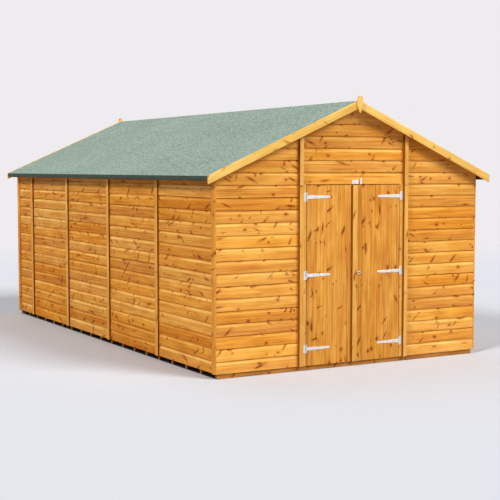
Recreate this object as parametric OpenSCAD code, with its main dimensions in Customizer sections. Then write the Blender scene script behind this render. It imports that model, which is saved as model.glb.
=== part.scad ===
// Apex garden shed: framed shiplap wall panels on a boarded floor, a felted roof
// and a pair of ledged and braced doors in the front gable.
// The origin is the middle of the footprint on the ground, +Z is up and the doors face -Y.

/* [Walls] */
// Width over the cladding of the two side walls
wall_w = 2906; // [2500:1:3300]
// Length of each full side wall panel
panel_l = 1200; // [900:1:1300]
// Length of the shorter panel that closes a side wall at the back
rear_panel_l = 544; // [400:1:900]
// Height of the eaves, at the outer face of a side wall, above the floor boards
wall_h = 1766; // [1740:1:2000]
// Thickness of the shiplap cladding
clad_t = 12; // [8:1:18]
// How far the cladding hangs below the top of the floor boards
clad_drop = 13; // [6:1:30]

/* [Frame] */
// Face width of the studs and rails
frame_w = 44; // [34:1:60]
// Depth of the studs and rails, from the cladding into the room
frame_d = 28; // [20:1:45]
// Gap between the frames of neighbouring panels
frame_gap = 2; // [1:1:6]
// Spacing of the studs in a gable, from the doorway or the middle
stud_pitch = 455; // [300:1:700]

/* [Floor] */
// Height of the floor joists
joist_h = 44; // [34:1:75]
// Width of the floor joists
joist_w = 34; // [27:1:50]
// Spacing of the floor joists that the whole floor is divided into
joist_pitch = 294; // [200:1:450]
// Thickness of the floor boards
deck_t = 12; // [9:1:20]

/* [Roof] */
// Slope of the roof in degrees
roof_pitch = 23.64; // [18:0.01:28]
// Reach of the roof boards beyond a side wall
eaves_over = 112; // [70:1:180]
// Reach of the roof boards beyond a gable
gable_over = 66; // [45:1:120]
// Thickness of the roof boards
roof_t = 11; // [8:1:18]
// Thickness of the mineral felt
felt_t = 3; // [2:0.5:5]
// Height of the felt that is turned down over the eaves
felt_hem = 33; // [20:1:45]
// Height of the batten under the eaves, at its outer face
batten_h = 35; // [30:1:60]
// Thickness of the batten under the eaves
batten_t = 28; // [18:1:40]
// Depth of the ridge beam and the purlins
purlin_h = 70; // [50:1:120]
// Thickness of the ridge beam and the purlins
purlin_t = 28; // [20:1:45]

/* [Roof trim] */
// Depth of the bargeboards, square to their slope
barge_h = 68; // [55:1:110]
// Thickness of the bargeboards
barge_t = 18; // [12:1:25]
// Height of the bargeboards above the felt, square to their slope
barge_rise = 3; // [0:0.5:10]
// Reach of the bargeboards beyond the felt at the eaves
barge_over = 3; // [0:1:15]
// Height of a finial
finial_h = 160; // [120:1:240]
// Widest part of a finial
finial_w = 66; // [50:1:110]
// Width of a finial's blunt top
finial_top_w = 34; // [20:1:48]
// Height of a finial's sloping shoulders
finial_shoulder = 48; // [20:1:60]
// Height of a finial's upright sides
finial_side = 40; // [10:1:50]
// Thickness of a finial
finial_t = 16; // [10:1:22]
// Height of a finial's top above the apex of the bargeboards
finial_rise = 38; // [20:1:70]

/* [Wall trim] */
// Width of the strips over the wall panel joints
strip_w = 60; // [45:1:90]
// Width of the strips on the four corners
corner_w = 58; // [45:1:90]
// Thickness of the strips on the side walls, corners and back
strip_t = 18; // [10:1:25]
// Width of the thick strips that stand beside the doorway
post_w = 42; // [34:1:60]
// Thickness of the thick strips that stand beside the doorway
post_t = 30; // [22:1:45]
// Gap between the lower and the upper length of a thick strip
post_gap = 9; // [2:1:20]
// Depth of that gap's upper edge below the door head
post_joint = 8; // [0:1:60]

/* [Doorway] */
// Clear width between the two jamb strips
doorway_w = 1060; // [950:1:1200]
// Height of the doorway above the floor boards
doorway_h = 1647; // [1550:1:1680]
// Width of the jamb strips
jamb_w = 38; // [30:1:60]
// Distance of the doorway studs behind the inner edges of the jamb strips
stud_back = 15; // [10:1:30]
// How far the jamb strips and the doors stand in front of the cladding
jamb_proud = 8; // [7:1:14]
// Gap beside and above the doors
door_gap = 6; // [6:1:10]
// Gap where the two doors meet
meet_gap = 8; // [7:1:12]
// Distance of the right door's meeting edge to the left of the middle
meet_left = 28; // [10:1:45]

/* [Doors] */
// Thickness of the door boards
board_t = 12; // [9:1:14]
// Thickness of the ledges and braces
ledge_t = 28; // [18:1:35]
// Width of the ledges
ledge_w = 95; // [70:1:120]
// Width of the braces
brace_w = 70; // [50:1:95]
// Gap between the ends of a brace and the ledges
brace_gap = 1; // [0.5:0.5:4]
// Inset of the ledge ends from a door's edges
ledge_inset = 24; // [18:1:45]
// Inset of the lower ledge's middle from the bottom of a door
ledge_low = 157; // [120:1:240]
// Inset of the upper ledge's middle from the top of a door
ledge_high = 107; // [70:1:200]
// How far the middle ledge lies below half way between the other two
ledge_mid_drop = 19; // [0:1:80]
// Width of the strip that covers the meeting edges
meet_strip_w = 54; // [40:1:75]
// Thickness of the strip that covers the meeting edges
meet_strip_t = 20; // [12:1:25]

/* [Hinges and lock] */
// Length of a hinge strap, from its pin to its tip
strap_l = 260; // [180:1:330]
// Width of a hinge strap beside its pin
strap_w = 33; // [30:1:42]
// Width of a hinge strap at its tip
strap_tip_w = 20; // [14:1:28]
// Thickness of a hinge strap
strap_t = 3; // [2:0.5:4]
// Distance from a hinge knuckle to the wide part of its strap
strap_neck = 3; // [2:0.5:8]
// Height of a hinge plate
plate_h = 80; // [66:1:110]
// Width of a hinge plate on its jamb strip
plate_w = 28; // [18:1:29]
// Thickness of a hinge plate
plate_t = 2.5; // [2:0.5:4]
// Clearance between a hinge plate and the strap's knuckle
plate_notch = 1; // [0.5:0.1:2]
// Radius of a hinge knuckle
knuckle_r = 5; // [4.5:0.1:5.4]
// Radius of a hinge pin
pin_r = 2.5; // [2:0.1:3]
// Running clearance around a hinge pin and between the knuckles
pin_clear = 0.3; // [0.2:0.05:0.5]
// Diameter of the lock's round plate
lock_d = 30; // [26:1:44]
// Thickness of the lock's round plate
lock_t = 2.5; // [2:0.5:5]
// Diameter of the hole for the key
key_d = 18; // [8:1:20]
// Distance between the lock's round plate and the meeting strip
lock_gap = 16; // [6:1:40]
// Height of the lock above the floor boards
lock_h = 821; // [600:1:1100]
// Width of the catch plate above the doors
catch_w = 70; // [50:1:90]
// Height of the catch plate
catch_h = 37; // [30:1:60]
// Thickness of the catch plate
catch_t = 2.5; // [2:0.5:4]
// Distance of the catch plate's left edge to the left of the middle
catch_left = 22; // [0:1:60]
// Height of the catch plate above the door head
catch_rise = 3; // [0:1:15]
// Width of the upright catch bar
bar_w = 21; // [14:1:28]
// Height of the upright catch bar
bar_h = 56; // [50:1:80]
// Thickness of the upright catch bar
bar_t = 9; // [6:1:14]
// Gap between the catch plate and the upright bar
bar_gap = 14; // [8:1:40]
// Height of the foot that carries the bar, in front of the cladding
bar_stand = 3; // [2:0.5:8]

/* [Hidden] */
$fn = 48;
WOOD = "#DE9A48";
TRIM = "#F2BC5A";
FELT = "#7E968A";
STEEL = "#D9DBDD";

// Heights from the ground up
deck_z = joist_h + deck_t;
clad_z = deck_z - clad_drop;
eaves_z = deck_z + wall_h;
head_z = deck_z + doorway_h;
door_low_z = clad_z;
door_top_z = head_z - door_gap;

// Side walls: full panels from the front, and a shorter one at the back
PANELS = 5;
wall_l = (PANELS - 1) * panel_l + rear_panel_l;

// The outer faces of the walls and the inner faces of cladding and frame
side_x = wall_w / 2;
front_y = -wall_l / 2;
clad_in_x = side_x - clad_t;
clad_in_y = front_y + clad_t;
frame_in_x = clad_in_x - frame_d;
frame_in_y = clad_in_y + frame_d;

// The roof: its underside is a plane on each side that falls from the ridge
slope = tan(roof_pitch);
plumb = 1 / cos(roof_pitch);
ridge_z = eaves_z + slope * side_x;
eaves_x = side_x + eaves_over;
roof_y = front_y - gable_over;
felt_x = eaves_x + felt_t;
barge_x = felt_x + barge_over;
felt_low = roof_t * plumb;
felt_high = (roof_t + felt_t) * plumb;
barge_high = (roof_t + felt_t + barge_rise) * plumb;
barge_low = barge_high - barge_h * plumb;
barge_y = roof_y - barge_t;
function under_roof(x) = ridge_z - slope * abs(x);

// Ends of a side wall panel, counted from the front; the gables' cladding covers the outermost ends
function panel_y0(i) = i == 1 ? clad_in_y : front_y + (i - 1) * panel_l;
function panel_y1(i) = i == PANELS ? -clad_in_y : front_y + i * panel_l;

// The doorway, with its jamb strips and the thick strips outside them
doorway_x = doorway_w / 2;
jamb_x = doorway_x + jamb_w;
post_x = jamb_x + post_w;
face_y = front_y - jamb_proud;
door_x = doorway_x - door_gap;
left_meet_x = -meet_left - meet_gap;
right_meet_x = -meet_left;
board_back_y = face_y + board_t;
ledge_back_y = board_back_y + ledge_t;

// Hinge pins stand in the gap beside the doors, in front of their faces
pin_x = doorway_x - door_gap / 2;
pin_y = face_y - knuckle_r;
KNUCKLES = 3;
knuckle_h = plate_h / KNUCKLES;
neck_x = pin_x - knuckle_r - strap_neck;
top_ledge_z = door_top_z - ledge_high;
low_ledge_z = door_low_z + ledge_low;
LEDGE_Z = [low_ledge_z, (low_ledge_z + top_ledge_z) / 2 - ledge_mid_drop, top_ledge_z];

// Lock and catch
lock_x = right_meet_x + meet_strip_w + lock_gap + lock_d / 2;
lock_z = deck_z + lock_h;
catch_x = -catch_left;
catch_z = head_z + catch_rise;
bar_x = catch_x + catch_w + bar_gap;

// A box from its lowest to its highest corner
module box_between(low, high) {
    translate(low)
        cube(high - low);
}

// An outline in X and Z, made solid from y0 to y1
module along_y(y0, y1) {
    translate([0, y1, 0])
        rotate([90, 0, 0])
            linear_extrude(y1 - y0)
                children();
}

// What it holds, and the same mirrored to the other side of the shed
module both_sides() {
    children();
    mirror([1, 0, 0])
        children();
}

// What it holds, and the same mirrored to the other end of the shed
module both_ends() {
    children();
    mirror([0, 1, 0])
        children();
}

// Outline of a piece that stands on low_z and is planed to the roof slope on top
module under_slope_outline(x0, x1, low_z) {
    polygon([[x0, low_z], [x1, low_z], [x1, under_roof(x1)], [x0, under_roof(x0)]]);
}

// Outline of a layer parallel to the roof, from x0 to x1, between two plumb heights above its underside
module slope_outline(x0, x1, low, high) {
    polygon([
        [x0, under_roof(x0) + low], [x1, under_roof(x1) + low],
        [x1, under_roof(x1) + high], [x0, under_roof(x0) + high]
    ]);
}

module floor_joists() {
    span = 2 * abs(clad_in_y) - joist_w;
    count = ceil(span / joist_pitch);
    color(WOOD)
        for (i = [0 : count])
            translate([-clad_in_x, clad_in_y + i * span / count, 0])
                cube([2 * clad_in_x, joist_w, joist_h]);
}

module floor_deck() {
    color(WOOD)
        box_between([-clad_in_x, clad_in_y, joist_h], [clad_in_x, -clad_in_y, deck_z]);
}

// One panel of side cladding, on the right; its top is planed to the roof slope
module side_panel(i) {
    color(WOOD)
        along_y(panel_y0(i), panel_y1(i))
            under_slope_outline(clad_in_x, side_x, clad_z);
}

module right_panel(i) {
    side_panel(i);
}

module left_panel(i) {
    mirror([1, 0, 0])
        side_panel(i);
}

module front_right_panel() {
    color(WOOD)
        along_y(front_y, clad_in_y)
            under_slope_outline(jamb_x, side_x, clad_z);
}

module front_left_panel() {
    mirror([1, 0, 0])
        front_right_panel();
}

// The gable above the doors, from the door head up to the ridge
module front_header_panel() {
    color(WOOD)
        along_y(front_y, clad_in_y)
            polygon([
                [-jamb_x, head_z], [jamb_x, head_z], [jamb_x, under_roof(jamb_x)],
                [0, ridge_z], [-jamb_x, under_roof(jamb_x)]
            ]);
}

module back_right_panel() {
    color(WOOD)
        along_y(-clad_in_y, -front_y)
            under_slope_outline(0, side_x, clad_z);
}

module back_left_panel() {
    mirror([1, 0, 0])
        back_right_panel();
}

// Side frames: a stud at each end of a panel, and one in the middle of a full panel
top_rail_z = eaves_z - frame_w;
bottom_rail_z = deck_z + frame_w;

module side_wall_studs() {
    color(WOOD)
        both_sides()
            for (i = [1 : PANELS]) {
                y0 = panel_y0(i) + frame_gap / 2;
                y1 = panel_y1(i) - frame_gap / 2 - frame_w;
                rows = i < PANELS ? [y0, (y0 + y1) / 2, y1] : [y0, y1];
                for (y = rows)
                    translate([frame_in_x, y, bottom_rail_z])
                        cube([frame_d, frame_w, top_rail_z - bottom_rail_z]);
            }
}

module side_wall_rails() {
    color(WOOD)
        both_sides()
            for (i = [1 : PANELS]) {
                y0 = panel_y0(i) + frame_gap / 2;
                y1 = panel_y1(i) - frame_gap / 2;
                box_between([frame_in_x, y0, deck_z], [clad_in_x, y1, bottom_rail_z]);
                along_y(y0, y1)
                    under_slope_outline(frame_in_x, clad_in_x, top_rail_z);
            }
}

// Gable frames: studs run up to the sloping rails, and the doorway has a stud on each side
slope_rail_low = -frame_w * plumb;
doorway_stud_x = doorway_x + stud_back;
outer_stud_x = frame_in_x - frame_gap - frame_w;

module gable_stud(x, low_z) {
    box_between(
        [x, clad_in_y, low_z],
        [x + frame_w, frame_in_y, under_roof(x + frame_w) + slope_rail_low]
    );
}

// Studs that follow the one at first_x, as far as half a spacing from the one in the corner
module gable_stud_row(first_x) {
    for (x = [first_x + stud_pitch : stud_pitch : outer_stud_x - stud_pitch / 2])
        gable_stud(x, bottom_rail_z);
    gable_stud(outer_stud_x, bottom_rail_z);
}

module gable_studs() {
    color(WOOD)
        both_sides() {
            gable_stud(doorway_stud_x, deck_z);
            gable_stud_row(doorway_stud_x);
            mirror([0, 1, 0]) {
                gable_stud(frame_gap / 2, bottom_rail_z);
                gable_stud_row(frame_gap / 2);
            }
        }
}

module gable_rails() {
    rail_x = frame_in_x - frame_gap;
    color(WOOD) {
        both_sides() {
            box_between([doorway_stud_x + frame_w, clad_in_y, deck_z], [rail_x, frame_in_y, bottom_rail_z]);
            box_between([frame_gap / 2, -frame_in_y, deck_z], [rail_x, -clad_in_y, bottom_rail_z]);
            both_ends()
                along_y(clad_in_y, frame_in_y)
                    slope_outline(frame_gap / 2, rail_x, slope_rail_low, 0);
        }
        box_between([-doorway_stud_x, clad_in_y, head_z], [doorway_stud_x, frame_in_y, head_z + frame_w]);
    }
}

// The ridge beam and a purlin half way down each slope, carried by the gable frames
module roof_purlins() {
    half_t = purlin_t / 2;
    beam_z = under_roof(half_t) - purlin_h;
    inner_x = side_x / 2 - half_t;
    outer_x = side_x / 2 + half_t;
    color(WOOD)
        along_y(frame_in_y, -frame_in_y) {
            polygon([
                [-half_t, beam_z], [half_t, beam_z], [half_t, under_roof(half_t)],
                [0, ridge_z], [-half_t, under_roof(half_t)]
            ]);
            both_sides()
                under_slope_outline(inner_x, outer_x, under_roof(outer_x) - purlin_h);
        }
}

module right_roof_boards() {
    color(WOOD)
        along_y(roof_y, -roof_y)
            slope_outline(0, eaves_x, 0, felt_low);
}

module left_roof_boards() {
    mirror([1, 0, 0])
        right_roof_boards();
}

// A sheet of felt on one slope, turned down over the eaves
module right_roof_felt() {
    hem_z = under_roof(felt_x) + felt_high - felt_hem;
    color(FELT)
        along_y(roof_y, -roof_y)
            polygon([
                [0, ridge_z + felt_low], [eaves_x, under_roof(eaves_x) + felt_low], [eaves_x, hem_z],
                [felt_x, hem_z], [felt_x, under_roof(felt_x) + felt_high], [0, ridge_z + felt_high]
            ]);
}

module left_roof_felt() {
    mirror([1, 0, 0])
        right_roof_felt();
}

module eaves_battens() {
    color(WOOD)
        both_sides()
            along_y(roof_y, -roof_y)
                under_slope_outline(eaves_x - batten_t, eaves_x, under_roof(eaves_x) - batten_h);
}

// A bargeboard, cut plumb at the apex and at the eaves
module front_right_bargeboard() {
    color(TRIM)
        along_y(barge_y, roof_y)
            slope_outline(0, barge_x, barge_low, barge_high);
}

module front_left_bargeboard() {
    mirror([1, 0, 0])
        front_right_bargeboard();
}

module back_right_bargeboard() {
    mirror([0, 1, 0])
        front_right_bargeboard();
}

module back_left_bargeboard() {
    mirror([0, 1, 0])
        front_left_bargeboard();
}

// A flat finial: blunt top, straight shoulders and a pointed foot, over the bargeboards' joint
module front_finial() {
    top_z = ridge_z + barge_high + finial_rise;
    shoulder_z = top_z - finial_shoulder;
    hip_z = shoulder_z - finial_side;
    half_w = finial_w / 2;
    half_top = finial_top_w / 2;
    color(TRIM)
        along_y(barge_y - finial_t, barge_y)
            polygon([
                [0, top_z - finial_h], [half_w, hip_z], [half_w, shoulder_z], [half_top, top_z],
                [-half_top, top_z], [-half_w, shoulder_z], [-half_w, hip_z]
            ]);
}

module back_finial() {
    mirror([0, 1, 0])
        front_finial();
}

// Upright strips on the side walls, up to the underside of the roof
module side_strip(y0, y1) {
    along_y(y0, y1)
        under_slope_outline(side_x, side_x + strip_t, clad_z);
}

module corner_strips() {
    color(TRIM)
        both_sides()
            both_ends()
                side_strip(front_y, front_y + corner_w);
}

module side_cover_strips() {
    color(TRIM)
        both_sides()
            for (i = [1 : PANELS - 1])
                side_strip(panel_y1(i) - strip_w / 2, panel_y1(i) + strip_w / 2);
}

// The thick strips beside the doorway, each in a lower and an upper length
module doorway_posts() {
    upper_z = head_z - post_joint;
    color(TRIM)
        both_sides() {
            box_between([jamb_x, front_y - post_t, clad_z], [post_x, front_y, upper_z - post_gap]);
            along_y(front_y - post_t, front_y)
                under_slope_outline(jamb_x, post_x, upper_z);
        }
}

module back_cover_strip() {
    half_w = strip_w / 2;
    color(TRIM)
        along_y(-front_y, -front_y + strip_t)
            polygon([
                [-half_w, clad_z], [half_w, clad_z], [half_w, under_roof(half_w)],
                [0, ridge_z], [-half_w, under_roof(half_w)]
            ]);
}

module door_jambs() {
    color(TRIM)
        both_sides()
            box_between([doorway_x, face_y, clad_z], [jamb_x, clad_in_y, head_z]);
}

// The boards of one door, as one slab
module door_boards(x0, x1) {
    color(WOOD)
        box_between([x0, face_y, door_low_z], [x1, board_back_y, door_top_z]);
}

// Ledges across the back of a door, with a brace between them that rises from the hinge side
module door_ledges(hinge_x, meet_x) {
    inward = sign(meet_x - hinge_x);
    hinge_end = hinge_x + inward * ledge_inset;
    meet_end = meet_x - inward * ledge_inset;
    color(WOOD)
        along_y(board_back_y, ledge_back_y) {
            for (z = LEDGE_Z)
                translate([min(hinge_end, meet_end), z - ledge_w / 2])
                    square([abs(meet_end - hinge_end), ledge_w]);
            for (i = [0 : len(LEDGE_Z) - 2]) {
                low_z = LEDGE_Z[i] + ledge_w / 2 + brace_gap;
                high_z = LEDGE_Z[i + 1] - ledge_w / 2 - brace_gap;
                polygon([
                    [hinge_end, low_z], [hinge_end + inward * brace_w, low_z],
                    [meet_end, high_z], [meet_end - inward * brace_w, high_z]
                ]);
            }
        }
}

module left_door_boards() {
    door_boards(-door_x, left_meet_x);
}

module right_door_boards() {
    door_boards(right_meet_x, door_x);
}

module left_door_ledges() {
    door_ledges(-door_x, left_meet_x);
}

module right_door_ledges() {
    door_ledges(door_x, right_meet_x);
}

// One hinge strap on the right door: the middle knuckle, a neck and a tapering strap with a round tip
module hinge_strap() {
    neck_h = knuckle_h / 2 - pin_clear;
    tip_r = strap_tip_w / 2;
    tip_x = pin_x - strap_l + tip_r;
    difference() {
        union() {
            translate([pin_x, pin_y, -neck_h])
                cylinder(r = knuckle_r, h = 2 * neck_h);
            along_y(face_y - strap_t, face_y) {
                polygon([
                    [pin_x, -neck_h], [pin_x, neck_h], [neck_x, neck_h], [neck_x, strap_w / 2],
                    [tip_x, tip_r], [tip_x, -tip_r], [neck_x, -strap_w / 2], [neck_x, -neck_h]
                ]);
                translate([tip_x, 0])
                    circle(r = tip_r);
            }
        }
        translate([pin_x, pin_y, -knuckle_h])
            cylinder(r = pin_r + pin_clear, h = 2 * knuckle_h);
    }
}

module right_hinge_straps() {
    color(STEEL)
        for (z = LEDGE_Z)
            translate([0, 0, z])
                hinge_strap();
}

module left_hinge_straps() {
    mirror([1, 0, 0])
        right_hinge_straps();
}

// One hinge plate on the right jamb strip, with the outer knuckles and the pin;
// it is notched behind the strap's knuckle, which turns there
module hinge_plate() {
    half_h = plate_h / 2;
    notch_x = pin_x + knuckle_r + plate_notch;
    box_between([notch_x, face_y - plate_t, -half_h], [doorway_x + plate_w, face_y, half_h]);
    for (z = [-half_h, half_h - knuckle_h]) {
        box_between([doorway_x, face_y - plate_t, z], [notch_x, face_y, z + knuckle_h]);
        translate([pin_x, pin_y, z])
            cylinder(r = knuckle_r, h = knuckle_h);
    }
    translate([pin_x, pin_y, -half_h])
        cylinder(r = pin_r, h = plate_h);
}

module hinge_plates() {
    color(STEEL)
        both_sides()
            for (z = LEDGE_Z)
                translate([0, 0, z])
                    hinge_plate();
}

// The strip on the right door's meeting edge
module door_meeting_strip() {
    color(TRIM)
        box_between(
            [right_meet_x, face_y - meet_strip_t, door_low_z],
            [right_meet_x + meet_strip_w, face_y, door_top_z]
        );
}

// The round plate of the lock, with the hole for the key
module lock_plate() {
    color(STEEL)
        translate([lock_x, face_y, lock_z])
            rotate([90, 0, 0])
                difference() {
                    cylinder(d = lock_d, h = lock_t);
                    translate([0, 0, -lock_t])
                        cylinder(d = key_d, h = 3 * lock_t);
                }
}

// The catch above the doors: a plate, and an upright bar on a foot, both on the gable's cladding
module door_catch() {
    color(STEEL) {
        box_between([catch_x, front_y - catch_t, catch_z], [catch_x + catch_w, front_y, catch_z + catch_h]);
        box_between(
            [bar_x, front_y - bar_stand - bar_t, head_z],
            [bar_x + bar_w, front_y - bar_stand, head_z + bar_h]
        );
        box_between(
            [bar_x, front_y - bar_stand, head_z + bar_h / 2],
            [bar_x + bar_w, front_y, head_z + bar_h]
        );
    }
}

floor_joists();
floor_deck();
for (i = [1 : PANELS]) {
    left_panel(i);
    right_panel(i);
}
front_left_panel();
front_right_panel();
front_header_panel();
back_left_panel();
back_right_panel();
side_wall_studs();
side_wall_rails();
gable_studs();
gable_rails();
roof_purlins();
left_roof_boards();
right_roof_boards();
left_roof_felt();
right_roof_felt();
eaves_battens();
front_left_bargeboard();
front_right_bargeboard();
back_left_bargeboard();
back_right_bargeboard();
front_finial();
back_finial();
corner_strips();
side_cover_strips();
doorway_posts();
back_cover_strip();
door_jambs();
left_door_boards();
left_door_ledges();
left_hinge_straps();
right_door_boards();
right_door_ledges();
right_hinge_straps();
door_meeting_strip();
lock_plate();
hinge_plates();
door_catch();
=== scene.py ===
import math
import random

import bmesh
import bpy
from mathutils import Matrix, Vector, noise


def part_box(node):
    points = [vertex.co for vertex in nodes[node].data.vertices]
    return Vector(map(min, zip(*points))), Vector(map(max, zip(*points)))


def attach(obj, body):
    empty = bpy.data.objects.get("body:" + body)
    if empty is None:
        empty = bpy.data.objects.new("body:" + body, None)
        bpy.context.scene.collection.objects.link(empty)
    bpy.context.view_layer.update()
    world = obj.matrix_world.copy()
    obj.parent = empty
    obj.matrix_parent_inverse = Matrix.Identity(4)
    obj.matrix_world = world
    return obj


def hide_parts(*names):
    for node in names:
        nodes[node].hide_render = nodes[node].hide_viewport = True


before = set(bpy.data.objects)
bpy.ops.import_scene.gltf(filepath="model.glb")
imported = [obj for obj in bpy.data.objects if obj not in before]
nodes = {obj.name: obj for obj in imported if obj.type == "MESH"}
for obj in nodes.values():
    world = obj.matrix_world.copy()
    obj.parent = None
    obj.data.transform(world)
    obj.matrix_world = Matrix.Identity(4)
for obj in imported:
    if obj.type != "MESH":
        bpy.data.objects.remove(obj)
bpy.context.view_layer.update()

dice = random.Random(41)
painted_line_dice = random.Random(12)
MM = 0.001
UP = Vector((0, 0, 1))
RIGHT = Vector((1, 0, 0))
BACK = Vector((0, 1, 0))

# The camera, as fitted to the wall panels' joints and the doorway: metres, degrees, and the lens in mm
CAMERA_AT = (-6.106, -11.414, 1.855)
CAMERA_YAW = 29.73
CAMERA_DROP = 4.12
CAMERA_LENS = 82.1
CAMERA_SENSOR = 36
CAMERA_REACH = 200

# Shiplap boards: cover, cove, lip and tongue
SIDE_PANELS = 5
BOARDS_TO_DOOR_HEAD = 15
COVE_HIGH = 34 * MM
COVE_DEEP = 7.5 * MM
LIP_BACK = 7 * MM
LIP_RUN = 7 * MM
TONGUE = 9 * MM
REBATE = 9.6 * MM
LIP_ARRIS = 1 * MM
BOARD_WANDER = 0.8 * MM
# A row of boards lower than this share of a board is no row
TRIFLE = 1e-6
# Painted light on a board, from -1 (painted highlight) to 1 (painted shade): up its cove and round its lip
COVE_PAINTED_LIGHT = (0, -0.7, -0.9, -0.85, -0.4, 0.3, 0.6)
LIP_PAINTED_LIGHT = (0.35, 0.15, 0)
# Painted shade that makes the side walls darker and redder than the gables, and how much stronger their
# painted highlight and shade lines are
SIDE_PAINTED_SHADE = 0.35
SIDE_PAINTED_LINES = 1.6
# How unevenly the painted highlight and shade lines show, from one end of a board to the other
PAINTED_LINE_SPREAD = (0.4, 1.6)
# Painted shade on the inner joists, darker than any coat of stain, for the dark between them
JOIST_PAINTED_SHADE = 1.9

# Boards ripped from a slab, and planed timber
DOOR_BOARD = 110 * MM
FLOOR_BOARD = 110 * MM
ROOF_BOARD = 112 * MM
SEAM = 0.4 * MM
DOOR_ARRIS = 1.2 * MM
FLOOR_ARRIS = 0.8 * MM
ROOF_ARRIS = 1.5 * MM
TIMBER_ARRIS = 1.6 * MM
# The last board of a door is no narrower than this share of the others
NARROWEST = 0.2
# An eased edge is a little fuller than a quarter circle
EASE_STEPS = 2
EASE_FULLNESS = 0.6

# Meshes: corners that are one, faces that are flat, edges that stay sharp and faces that count as square
WELD = 0.01 * MM
FLAT = math.radians(1)
SHARP = math.radians(32)
SQUARE = 0.9
# Lengths of timber count as running this way rather than back
ONWARD = Vector((1, 1.1, 1.2))
# Each board's grain starts somewhere else in the pattern, up to this many metres off
GRAIN_SHIFT = 40

# Roofing felt: the sheet, its bend over the eaves and how unevenly it lies
FELT_THICK = 2.9 * MM
FELT_SAG = 1.1 * MM
FELT_BEND = 7 * MM
FELT_STEPS_ALONG = 150
FELT_STEPS_DOWN = 40
BEND_STEPS = 6
HEM_STEPS = 4
# The step from which the sheet is bent so far that its chips are worn off
WORN_FROM = FELT_STEPS_DOWN + 4
# Swells and ripples of the sheet: waves per metre down and along the slope, and their share of the sag
SWELL = (2.1, 1.7, 0.6)
RIPPLE = (7, 6, 0.4)
# Where in the noise the swells are read, so that the two slopes differ
SWELL_SHIFT = 9
SWELL_LAYER = 0.3

# Fasteners
NAIL_R = 2.6 * MM
NAIL_RISE = 0.7 * MM
CLOUT_R = 4.5 * MM
CLOUT_RISE = 1.1 * MM
CLOUT_PITCH = 100 * MM
SCREW_R = 3.5 * MM
SCREW_RISE = 1 * MM
HEAD_SIDES = 12
HEAD_TOP = 0.7
NAIL_UP = 24 * MM
CLOUT_UP = 14 * MM
KEYWAY_R = 8.9 * MM
# Places of the screws, as shares of a fitting's width and height
STRAP_SCREWS = ((0.2, 0.5), (0.45, 0.5), (0.7, 0.5), (0.93, 0.5))
PLATE_SCREWS = ((0.5, 0.1), (0.5, 0.9))
CATCH_SCREWS = ((0.5, 0.2), (0.5, 0.8))
# Facets shorter than this, where a strap runs into its knuckle, leave no room to ease an edge
FITTING_WELD = 0.5 * MM
FITTING_ARRIS = 0.6 * MM

# Knots: the patch of board that may hold one, along and across; half the knot; and its lean in radians
ROUND_KNOT = ((120 * MM, 90 * MM), (9 * MM, 6.5 * MM), (-0.5, 0.5))
SPIKE_KNOT = ((140 * MM, 110 * MM), (27 * MM, 5.2 * MM), (-1.3, 0.6))
# How far knots stray from even rows, and how small and large they come, as shares of their usual size
KNOT_SCATTER = 0.9
KNOT_SIZES = (0.5, 1.35)
# Round knots are rarer than spikes by this chance
ROUND_RARER = 0.15
# Branches grow in whorls, so knots come in crowds about this far apart along a board: none where the
# noise is below the first figure, most above the second
WHORL = 230 * MM
CROWDED = (0.44, 0.6)
# Distance to a knot where there is none, as a share of a knot's size
FAR_OFF = 50.0
# How near the edge of its patch a knot fades, as a share of the patch, and what that adds to its distance
PATCH_FADE = (0.1, 4.0)
# How ragged a knot's rim is, as a share of its size, and in steps of what size
RAGGED = 0.7
RAGGED_STEP = 9 * MM
# A knot's core, the browner wood round it and its heart: where each starts and is full, as shares of the
# knot's size, how much of the colour it takes, and how it rises
CORE = (1.2, 0.75, 0.92, "SMOOTHSTEP")
HALO = (3.6, 0.9, 0.6, "SMOOTHSTEP")
HEART = (0.75, 0.2, 0.7, "LINEAR")
# The grain bends round a knot: how fast that fades, and how far it goes
BEND_FADE = -0.22
BEND_PUSH = -0.8

# Patterns in the grain: length and width, detail, distortion, the noise at which each starts and is full,
# and how strong it is then. Real growth rings are 2 to 5 mm apart, and are drawn coarser, to show
BANDS = ((830 * MM, 29.5 * MM), 3.0, 0.2, (0.28, 0.78), (0.0, 1.0))
FIGURE = ((310 * MM, 16 * MM), 2.0, 0.25, (0.5, 0.7), (0.0, 0.36))
RINGS = ((770 * MM, 7.5 * MM), 1.0, 0.2, (0.48, 0.72), (0.0, 1.0))
BLOTCHES = ((285 * MM, 90 * MM), 2.0, 0.0, (0.3, 0.7), (0.88, 1.1))
# How much of the dark wood's colour the growth rings take
RING_DARK = 0.4
# From board to board, at a variety of 1: how much darker and paler, redder and duller one may be
DARKER = 0.26
PALER = 0.09
REDDER = 0.005
DULLER = 0.04
# The setting that leaves a hue as it is
SAME_HUE = 0.5
# Below 1, more boards are pale than dark
TONE_CURVE = 0.5
# Makes a second, unlike draw out of a board's tone
SECOND_DRAW = 7.31
# How much painted shade darkens the wood, and painted highlight lightens it: by its depth, and by its depth
# squared
PAINTED_LIGHT_STEPS = (0.29, 0.09)
# How much redder a deeper coat is, and painted shade with it
COAT_RED = 0.9
# The power of a coat's shade, below 1 because redder wood is darker already
COAT_CURVE = 0.6

# Patterns of the other finishes: width of felt chips, patches and clouds, of zinc crystals and scratches,
# and of rubbed places in the lacquer
FELT_CHIP = 6 * MM
FELT_PATCH = 26 * MM
FELT_CLOUD = 700 * MM
SPANGLE = 7 * MM
SCRATCH = 2 * MM
RUBBED = 9 * MM

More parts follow.
